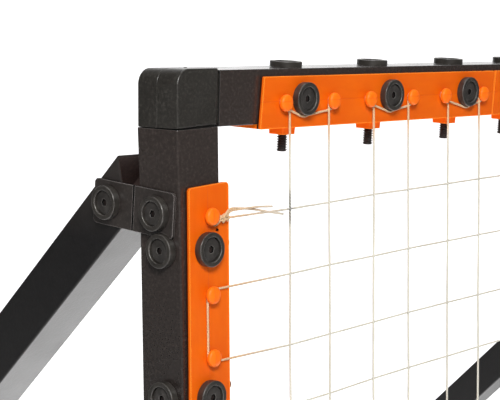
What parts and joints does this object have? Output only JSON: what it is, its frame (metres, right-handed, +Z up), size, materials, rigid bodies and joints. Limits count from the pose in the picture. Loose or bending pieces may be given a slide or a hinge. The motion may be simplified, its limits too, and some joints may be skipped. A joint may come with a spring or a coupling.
{
  "type": "golf chipping net",
  "caption": "Square steel tube frame on folding rear prop legs, holding a knotted cord net on moulded clips bolted to the rails, as a catcher for chip shots.",
  "frame": {"origin": "on the ground, at the centre of the footprint of the standing net", "axes": "+Z up, -Y out of the front of the net towards the player, +X to the right seen from the front"},
  "size_m": [1.0988, 1.1606, 1.0916],
  "materials": {
    "black_steel_tube": "satin black powder coat with a fine texture",
    "black_plastic": "moulded black plastic with a fine matt grain",
    "orange_plastic": "moulded orange plastic, satin",
    "black_fastener": "black plated, semi-gloss",
    "black_bracket": "satin black powder coat",
    "rubber": "matt black",
    "net_cord": "twisted natural cord"
  },
  "bodies": {
    "frame": {"top_rail_tube": "black_steel_tube", "bottom_rail_tube": "black_steel_tube", "left_upright_tube": "black_steel_tube", "right_upright_tube": "black_steel_tube", "top_left_elbow": "black_plastic", "top_right_elbow": "black_plastic", "bottom_left_elbow": "black_plastic", "bottom_right_elbow": "black_plastic", "top_net_clip_a": "orange_plastic", "top_net_clip_b": "orange_plastic", "top_net_clip_c": "orange_plastic", "bottom_net_clip_a": "orange_plastic", "bottom_net_clip_b": "orange_plastic", "bottom_net_clip_c": "orange_plastic", "left_net_clip_a": "orange_plastic", "left_net_clip_b": "orange_plastic", "left_net_clip_c": "orange_plastic", "right_net_clip_a": "orange_plastic", "right_net_clip_b": "orange_plastic", "right_net_clip_c": "orange_plastic", "top_front_bolts": "black_fastener", "top_through_bolts": "black_fastener", "bottom_front_bolts": "black_fastener", "bottom_through_bolts": "black_fastener", "left_front_bolts": "black_fastener", "left_through_bolts": "black_fastener", "right_front_bolts": "black_fastener", "right_through_bolts": "black_fastener", "left_pivot_cup_washer": "black_fastener", "left_pivot_bolt": "black_fastener", "left_pivot_flat_washer": "black_fastener", "left_pivot_nut": "black_fastener", "left_bracket_cup_washer": "black_fastener", "left_bracket_bolt": "black_fastener", "right_pivot_cup_washer": "black_fastener", "right_pivot_bolt": "black_fastener", "right_pivot_flat_washer": "black_fastener", "right_pivot_nut": "black_fastener", "right_bracket_cup_washer": "black_fastener", "right_bracket_bolt": "black_fastener", "left_bracket_plate": "black_bracket", "right_bracket_plate": "black_bracket", "left_foot_pad": "rubber", "right_foot_pad": "rubber", "net": "net_cord"},
    "left_leg": {"left_leg_tube": "black_steel_tube", "left_leg_foot_cap": "rubber"},
    "right_leg": {"right_leg_tube": "black_steel_tube", "right_leg_foot_cap": "rubber"}
  },
  "joints": [
    {"name": "left_leg_fold", "type": "hinge", "parent": "frame", "child": "left_leg", "pos_m": [-0.54, -0.49949, 0.9898], "axis": [1, 0, 0], "range_deg": [-47, 35]},
    {"name": "right_leg_fold", "type": "hinge", "parent": "frame", "child": "right_leg", "pos_m": [0.54, -0.49949, 0.9898], "axis": [1, 0, 0], "range_deg": [-47, 35]}
  ]
}
